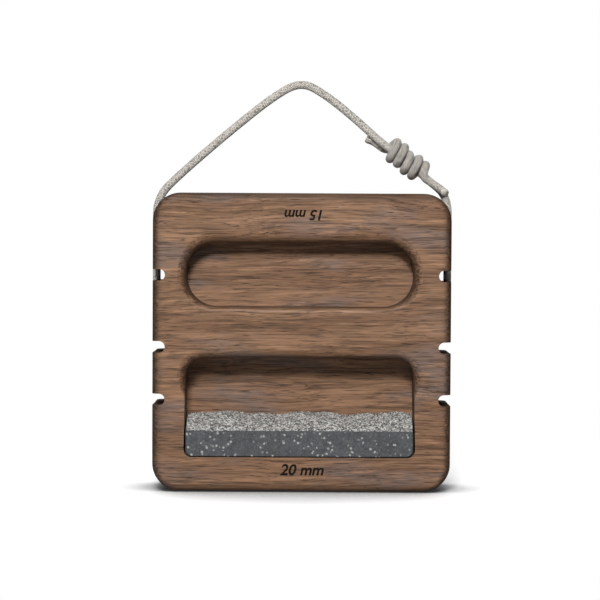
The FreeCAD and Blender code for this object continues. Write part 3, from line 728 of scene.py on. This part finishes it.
def stone_material(settings):
    """Dark stone: sawn smooth and speckled in front, split and light grey on top, with painted shade in the
    top's pits.
    """
    material, tree, shader = new_material("stone")
    where = object_place(tree)
    split = node(tree, "ShaderNodeAttribute", attribute_name="split").outputs["Fac"]
    edge = maths(tree, "SUBTRACT", noise_value(tree, where, 900.0, 3.0, 0.65), 0.5)
    mask = remap(tree, maths(tree, "ADD", split, maths(tree, "MULTIPLY", edge, 0.9)), 0.45, 0.62)
    grain = noise_value(tree, where, 1500.0, 4.0, 0.7)
    blotch = noise_value(tree, where, 210.0, 3.0, 0.55)
    spark, off_middle = cell_values(tree, where, 760.0)
    round_spot = remap(tree, off_middle, 0.25, 0.62, 1.0, 0.0)
    fleck = maths(tree, "MULTIPLY", remap(tree, spark, 0.80, 0.98), round_spot)

    dull, bright = scaled(settings.sawn, 0.78), scaled(settings.sawn, 1.25)
    sawn = mixed(tree, remap(tree, blotch, 0.3, 0.7), dull, bright)
    sawn = mixed(tree, remap(tree, grain, 0.42, 0.76, 0.0, 0.6), sawn, (0.17, 0.175, 0.18))
    sawn = mixed(tree, maths(tree, "MULTIPLY", fleck, 0.85), sawn, (0.48, 0.48, 0.45))

    crystal, _ = cell_values(tree, where, 1350.0)
    # Painted shade in the small pits of the split top.
    pit_shade = remap(tree, grain, 0.36, 0.52, 1.0, 0.0)
    broken = mixed(tree, remap(tree, blotch, 0.32, 0.68), scaled(settings.split, 0.8), settings.split)
    broken = mixed(tree, remap(tree, crystal, 0.45, 0.95, 0.0, 0.9), broken, (0.80, 0.79, 0.75))
    broken = mixed(tree, remap(tree, crystal, 0.40, 0.05, 0.0, 0.92), broken, (0.035, 0.035, 0.035))
    broken = mixed(tree, maths(tree, "MULTIPLY", pit_shade, 0.6), broken, (0.06, 0.06, 0.06))
    tree.links.new(mixed(tree, mask, sawn, broken), shader.inputs["Base Color"])
    tree.links.new(remap(tree, mask, 0, 1, 0.55, 0.85), shader.inputs["Roughness"])
    shallow = bumped(tree, grain, 0.18, 0.0002)
    deep = bumped(tree, maths(tree, "MULTIPLY", grain, mask), 0.9, 0.0007, shallow)
    tree.links.new(deep, shader.inputs["Normal"])
    return material


def bed_material():
    """Cured adhesive in the thin gap round the stone."""
    material, _ = mottled_material(
        "adhesive", 800.0, (0.0, 1.0), (0.012, 0.010, 0.009), (0.035, 0.028, 0.022), 0.5, 0.0003, 0.6
    )
    return material


class HANGBOARD_OT_stone(bpy.types.Operator):
    """Makes the split stone edge and dresses its adhesive bed"""

    bl_idname = "hangboard.stone"
    bl_label = "Stone edge"

    def execute(self, context):
        settings = context.scene.hangboard_stone
        stone = link_mesh("stone_edge_split", stone_mesh(settings))
        put_material(stone, stone_material(settings))
        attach(stone, "board")
        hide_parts("stone_edge")
        put_material(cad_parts["stone_adhesive"], bed_material())
        return {"FINISHED"}


# The wood


# The grain wanders by this much, in metres, and its rings lie round a heart far behind the block
WANDER = 0.010
HEART = (0.0, -0.085, 0.305)
HEART_TURN = (0.0, 0.012, 0.02)
RING_WIDTH = 0.0042

# Noise drawn out along the grain: its scale, detail and roughness, and its scale along X
GRAIN_NOISE = {
    "bands": (125.0, 3.0, 0.55, 0.06),
    "lines": (760.0, 4.0, 0.66, 0.034),
    "hair": (2100.0, 3.0, 0.6, 0.03),
    "vessels": (2700.0, 1.0, 0.5, 0.03),
    "contours": (380.0, 2.0, 0.5, 0.028),
    "breaks": (420.0, 2.0, 0.5, 0.12),
}
CONTOURS = 11.0


def ring_lines(tree, where, grain):
    """The late wood of the growth rings, from 0 to 1."""
    centred = node(tree, "ShaderNodeMapping", {"Vector": grain, "Location": HEART, "Rotation": HEART_TURN})
    split = node(tree, "ShaderNodeSeparateXYZ", {"Vector": centred.outputs["Vector"]})
    y2 = maths(tree, "MULTIPLY", split.outputs["Y"], split.outputs["Y"])
    z2 = maths(tree, "MULTIPLY", split.outputs["Z"], split.outputs["Z"])
    radius = maths(tree, "SQRT", maths(tree, "ADD", y2, z2))
    uneven = noise_value(tree, where, 45.0, 2.0, 0.5, stretch=(0.12, 1.0, 1.0))
    counted = maths(tree, "MULTIPLY", radius, 1 / RING_WIDTH)
    rings = maths(tree, "ADD", counted, maths(tree, "MULTIPLY", uneven, 2.4))
    return remap(tree, maths(tree, "FRACT", rings), 0.45, 0.98)


def wood_nodes(tree, where, settings):
    """Dark wood with its grain along X: growth rings, bands, close dark lines, thin broken
    streaks and open pores. Returns its colour, its height and its bands."""
    wander = noise_value(tree, where, 9.0, 2.0, 0.5, stretch=(1.0, 1.0, 2.0))
    lift = maths(tree, "MULTIPLY", maths(tree, "SUBTRACT", wander, 0.5), WANDER)
    shift = node(tree, "ShaderNodeCombineXYZ", {"Y": lift, "Z": lift})
    grain = node(tree, "ShaderNodeVectorMath", {0: where, 1: shift.outputs[0]}, operation="ADD").outputs[0]
    late = ring_lines(tree, where, grain)
    drawn = {
        name: noise_value(tree, grain, scale, detail, rough, stretch=(along, 1.0, 1.0))
        for name, (scale, detail, rough, along) in GRAIN_NOISE.items()
    }
    patches = noise_value(tree, where, 62.0, 3.0, 0.55, stretch=(0.32, 1.0, 1.0))
    contours = maths(tree, "FRACT", maths(tree, "MULTIPLY", drawn["contours"], CONTOURS))
    off_line = maths(tree, "ABSOLUTE", maths(tree, "SUBTRACT", contours, 0.5))
    whole = remap(tree, drawn["breaks"], 0.46, 0.60)
    streaks = maths(tree, "MULTIPLY", remap(tree, off_line, 0.03, 0.16, 1.0, 0.0), whole)
    dark_lines = remap(tree, drawn["lines"], 0.50, 0.66)
    pores = remap(tree, drawn["vessels"], 0.65, 0.70)

    line_colour, hair_colour = scaled(settings.deep, 0.42), scaled(settings.deep, 0.4)
    tone = mixed(tree, remap(tree, drawn["bands"], 0.34, 0.66), settings.deep, settings.pale)
    tone = mixed(tree, remap(tree, patches, 0.50, 0.68, 0.0, 0.8), tone, settings.grey)
    tone = mixed(tree, maths(tree, "MULTIPLY", late, 0.22), tone, settings.deep)
    light_lines = remap(tree, drawn["lines"], 0.48, 0.30, 0.0, 0.7)
    tone = mixed(tree, light_lines, tone, scaled(settings.pale, 1.45))
    tone = mixed(tree, maths(tree, "MULTIPLY", dark_lines, 0.78), tone, line_colour)
    tone = mixed(tree, remap(tree, drawn["hair"], 0.48, 0.70, 0.0, 0.55), tone, hair_colour)
    tone = mixed(tree, maths(tree, "MULTIPLY", streaks, 0.62), tone, settings.pore)
    tone = mixed(tree, maths(tree, "MULTIPLY", pores, 0.8), tone, settings.pore)
    low = maths(tree, "ADD", maths(tree, "MULTIPLY", dark_lines, 0.3), maths(tree, "MULTIPLY", streaks, 0.5))
    height = maths(tree, "SUBTRACT", 1.0, maths(tree, "ADD", low, pores))
    return tone, height, drawn["bands"]


# Painted shade: the block darkens within these distances from its middle, towards its outer arrises
EDGE_SHADE_FROM = 0.0690
EDGE_SHADE_TO = 0.0738


def wood_material(settings):
    """The grain, with painted shade where the block's faces turn away from the front and near its outer
    arrises, and darker on its end grain, which is dotted with open pores."""
    material, tree, shader = new_material("dark wood")
    spot = node(tree, "ShaderNodeTexCoord")
    where = spot.outputs["Object"]
    tone, height, bands = wood_nodes(tree, where, settings)
    facing = node(tree, "ShaderNodeSeparateXYZ", {"Vector": spot.outputs["Normal"]})
    end_grain = remap(tree, maths(tree, "ABSOLUTE", facing.outputs["X"]), 0.06, 0.7)
    # Painted shade where a face turns away from the front.
    turned = remap(tree, maths(tree, "ABSOLUTE", facing.outputs["Y"]), 0.30, 0.98, 1.0, 0.0)
    place = node(tree, "ShaderNodeSeparateXYZ", {"Vector": where})
    above = maths(tree, "ABSOLUTE", maths(tree, "SUBTRACT", place.outputs["Z"], BLOCK_MIDDLE))
    outer = maths(tree, "MAXIMUM", maths(tree, "ABSOLUTE", place.outputs["X"]), above)
    # Painted shade towards the block's outer arrises.
    edge_shade = remap(tree, outer, EDGE_SHADE_FROM, EDGE_SHADE_TO)
    dots = noise_value(tree, where, 1150.0, 2.0, 0.6, stretch=(0.4, 1.0, 1.0))
    speckle = maths(tree, "MULTIPLY", end_grain, remap(tree, dots, 0.50, 0.60))
    # The first and third masks are painted shade, on faces turned away from the front and towards the outer
    # arrises; the end grain and its pores are the wood's own colour.
    for share, most in ((turned, 0.52), (end_grain, 0.25), (edge_shade, 0.45), (speckle, 0.85)):
        tone = mixed(tree, maths(tree, "MULTIPLY", share, most), tone, settings.pore)
    tree.links.new(tone, shader.inputs["Base Color"])
    tree.links.new(remap(tree, bands, 0.3, 0.7, 0.66, 0.5), shader.inputs["Roughness"])
    shader.inputs["Specular IOR Level"].default_value = 0.3
    tree.links.new(bumped(tree, height, 0.5, 0.0002), shader.inputs["Normal"])
    return material


class HANGBOARD_OT_wood(bpy.types.Operator):
    """Gives the wooden block its grain"""

    bl_idname = "hangboard.wood"
    bl_label = "Wooden block"

    def execute(self, context):
        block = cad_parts["wood_body"]
        put_material(block, wood_material(context.scene.hangboard_wood))
        return {"FINISHED"}


# The engraved depths


MARKS = (
    ("mark_upper_depth", "15 mm", (0.45, 64.0), 18.9, True),
    ("mark_lower_depth", "20 mm", (0.45, -63.7), 22.0, False),
)
MARK_SLANT = 0.22
MARK_WEIGHT = 0.024
MARK_RELIEF = 0.003


def depth_mark(name, words, middle, width, upside_down):
    """A pocket's depth, burnt into the front face."""
    curve = bpy.data.curves.new(name, "FONT")
    curve.body = words
    curve.align_x = "CENTER"
    curve.align_y = "CENTER"
    curve.shear = MARK_SLANT
    curve.resolution_u = 6
    curve.extrude = 0.02
    curve.offset = MARK_WEIGHT
    thing = bpy.data.objects.new(name, curve)
    bpy.context.scene.collection.objects.link(thing)
    bpy.context.view_layer.update()
    mesh = bpy.data.meshes.new_from_object(thing)
    bpy.data.objects.remove(thing)
    across = [v.co.x for v in mesh.vertices]
    along = [v.co.y for v in mesh.vertices]
    scale = width * MM / (max(across) - min(across))
    centre = (-(min(across) + max(across)) / 2, -(min(along) + max(along)) / 2, 0)
    mesh.transform(Matrix.Translation(centre))
    mesh.transform(Matrix.Diagonal((scale, scale, MARK_RELIEF, 1)))
    turn = Matrix.Rotation(math.pi if upside_down else 0.0, 4, "Y")
    mesh.transform(turn @ Matrix.Rotation(math.pi / 2, 4, "X"))
    mesh.transform(Matrix.Translation((middle[0] * MM, FRONT, middle[1] * MM + BLOCK_MIDDLE)))
    made = bpy.data.objects.new(name, mesh)
    bpy.context.scene.collection.objects.link(made)
    return made


def burnt_material():
    """Scorched wood in the engraving."""
    soot, char = (0.006, 0.005, 0.004), (0.022, 0.014, 0.010)
    material, shader = mottled_material(
        "burnt engraving", 1400.0, (0.4, 0.75), soot, char, 0.4, 0.0001, 0.8, stretch=(0.1, 1.0, 1.0)
    )
    shader.inputs["Specular IOR Level"].default_value = 0.1
    return material


class HANGBOARD_OT_marks(bpy.types.Operator):
    """Burns the two pocket depths into the front"""

    bl_idname = "hangboard.marks"
    bl_label = "Depth marks"

    def execute(self, context):
        burnt = burnt_material()
        for settings in MARKS:
            mark = depth_mark(*settings)
            put_material(mark, burnt)
            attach(mark, "board")
        return {"FINISHED"}


# Floor, light and camera


# The other lights: name, place on the block's frame in millimetres, size in metres, watts
SMALL_LIGHTS = (
    ("left fill", (-700, -450, 60), 0.5, 0.35),
    ("behind", (0, 500, 500), 0.6, 1.3),
)
LIT_MIDDLE = (0, -10, 20)
KEY_SIZE = 0.29
EYE_ASIDE = -0.95
EYE_HEIGHT = 49.0
AIM_HEIGHT = 21.5
FLOOR_HALF = 2.5


def add_area(name, place, target, size, power):
    """A square area light that looks at its target."""
    light = bpy.data.lights.new(name, "AREA")
    light.shape = "RECTANGLE"
    light.size = size
    light.size_y = size
    light.energy = power
    thing = bpy.data.objects.new(name, light)
    thing.location = place
    thing.rotation_euler = (Vector(target) - Vector(place)).to_track_quat("-Z", "Y").to_euler()
    bpy.context.scene.collection.objects.link(thing)


def floor_material():
    """Pale floor. The camera sees it white except in the block's shadow and close beside it, where a painted
    contact shadow darkens its colour and its glow.
    """
    material = bpy.data.materials.new("pale floor")
    material.use_nodes = True
    tree = material.node_tree
    tree.nodes.clear()
    out = tree.nodes.new("ShaderNodeOutputMaterial")
    where = object_place(tree)
    away = node(tree, "ShaderNodeVectorMath", {0: where}, operation="LENGTH").outputs["Value"]
    far = remap(tree, away, 0.12, 0.28)
    seen = node(tree, "ShaderNodeLightPath").outputs["Is Camera Ray"]
    # Painted contact shadow: ambient occlusion darkens the floor's colour and its glow close to the block.
    close = node(tree, "ShaderNodeAmbientOcclusion", {"Distance": 0.10}, samples=8).outputs["AO"]
    shade = remap(tree, close, 0.36, 0.93, 0.05, 1.0, smooth=False)
    tint = node(tree, "ShaderNodeCombineXYZ", {"X": shade, "Y": shade, "Z": shade}).outputs[0]
    pale = node(tree, "ShaderNodeBsdfDiffuse", {"Color": tint})
    grey = node(tree, "ShaderNodeBsdfDiffuse", {"Color": (0.40, 0.40, 0.40, 1)})
    glow = node(tree, "ShaderNodeEmission", {"Color": tint, "Strength": 0.62})
    white = node(tree, "ShaderNodeEmission", {"Color": (1, 1, 1, 1), "Strength": 1.0})
    lit = node(tree, "ShaderNodeAddShader", {0: pale.outputs[0], 1: glow.outputs[0]})
    near = node(tree, "ShaderNodeMixShader", {0: far, 1: lit.outputs[0], 2: white.outputs[0]})
    both = node(tree, "ShaderNodeMixShader", {0: seen, 1: grey.outputs[0], 2: near.outputs[0]})
    tree.links.new(both.outputs[0], out.inputs["Surface"])
    return material


def plain_world():
    """White to the camera, and a weak even light on everything else."""
    world = bpy.data.worlds.new("studio")
    world.use_nodes = True
    tree = world.node_tree
    tree.nodes.clear()
    out = tree.nodes.new("ShaderNodeOutputWorld")
    path = node(tree, "ShaderNodeLightPath")
    around = node(tree, "ShaderNodeBackground", {"Color": (1, 1, 1, 1), "Strength": 0.035})
    behind = node(tree, "ShaderNodeBackground", {"Color": (1, 1, 1, 1), "Strength": 1.0})
    seen = path.outputs["Is Camera Ray"]
    both = node(tree, "ShaderNodeMixShader", {0: seen, 1: around.outputs[0], 2: behind.outputs[0]})
    tree.links.new(both.outputs[0], out.inputs["Surface"])
    bpy.context.scene.world = world


class HANGBOARD_OT_stage(bpy.types.Operator):
    """Sets the pale floor, the soft studio light and the camera"""

    bl_idname = "hangboard.stage"
    bl_label = "Stage"

    def execute(self, context):
        settings = context.scene.hangboard_stage
        bm = bmesh.new()
        bmesh.ops.create_grid(bm, x_segments=1, y_segments=1, size=FLOOR_HALF)
        floor = link_mesh("floor", bm)
        floor.location = (0, 0, WOOD_LOW.z - 0.0002)
        put_material(floor, floor_material())
        plain_world()
        middle = on_block(*LIT_MIDDLE)
        height, side = settings.key_height, settings.key_side
        level = math.cos(height)
        towards = Vector((math.sin(side) * level, -math.cos(side) * level, math.sin(height)))
        add_area("key", middle + towards * settings.key_distance, middle, KEY_SIZE, settings.key)
        for name, place, size, power in SMALL_LIGHTS:
            add_area(name, on_block(*place), middle, size, power)

        camera = bpy.data.cameras.new("camera")
        camera.lens = settings.lens
        camera.sensor_width = 36
        thing = bpy.data.objects.new("camera", camera)
        place = on_block(EYE_ASIDE, (FRONT - settings.distance) / MM, EYE_HEIGHT)
        target = on_block(EYE_ASIDE, FRONT / MM, AIM_HEIGHT)
        turn = (target - place).to_track_quat("-Z", "Y")
        thing.location = place
        thing.rotation_mode = "QUATERNION"
        thing.rotation_quaternion = turn @ Matrix.Rotation(settings.roll, 4, "Z").to_quaternion()
        bpy.context.scene.collection.objects.link(thing)
        context.scene.camera = thing
        context.scene.view_settings.view_transform = "Standard"
        return {"FINISHED"}


class HANGBOARD_PT_panel(bpy.types.Panel):
    """Lists the steps in the sidebar"""

    bl_idname = "HANGBOARD_PT_panel"
    bl_label = "Finger board"
    bl_space_type = "VIEW_3D"
    bl_region_type = "UI"
    bl_category = "Finger board"

    def draw(self, context):
        for operator in STEPS:
            self.layout.operator(operator.bl_idname)
        for name, _ in SETTINGS:
            group = getattr(context.scene, name)
            box = self.layout.box()
            for key in group.bl_rna.properties.keys():
                if key not in ("rna_type", "name"):
                    box.prop(group, key)


STEPS = (
    HANGBOARD_OT_stage,
    HANGBOARD_OT_cord,
    HANGBOARD_OT_stone,
    HANGBOARD_OT_wood,
    HANGBOARD_OT_marks,
)
SETTINGS = (
    ("hangboard_cord", CordSettings),
    ("hangboard_wood", WoodSettings),
    ("hangboard_stone", StoneSettings),
    ("hangboard_stage", StageSettings),
)


def register():
    for name, group in SETTINGS:
        bpy.utils.register_class(group)
        setattr(bpy.types.Scene, name, PointerProperty(type=group))
    for operator in STEPS:
        bpy.utils.register_class(operator)
    bpy.utils.register_class(HANGBOARD_PT_panel)


def unregister():
    bpy.utils.unregister_class(HANGBOARD_PT_panel)
    for operator in reversed(STEPS):
        bpy.utils.unregister_class(operator)
    for name, group in reversed(SETTINGS):
        delattr(bpy.types.Scene, name)
        bpy.utils.unregister_class(group)


def main():
    register()
    bpy.ops.hangboard.stage()
    bpy.ops.hangboard.cord()
    bpy.ops.hangboard.stone()
    bpy.ops.hangboard.wood()
    bpy.ops.hangboard.marks()


if __name__ == "__main__":
    main()
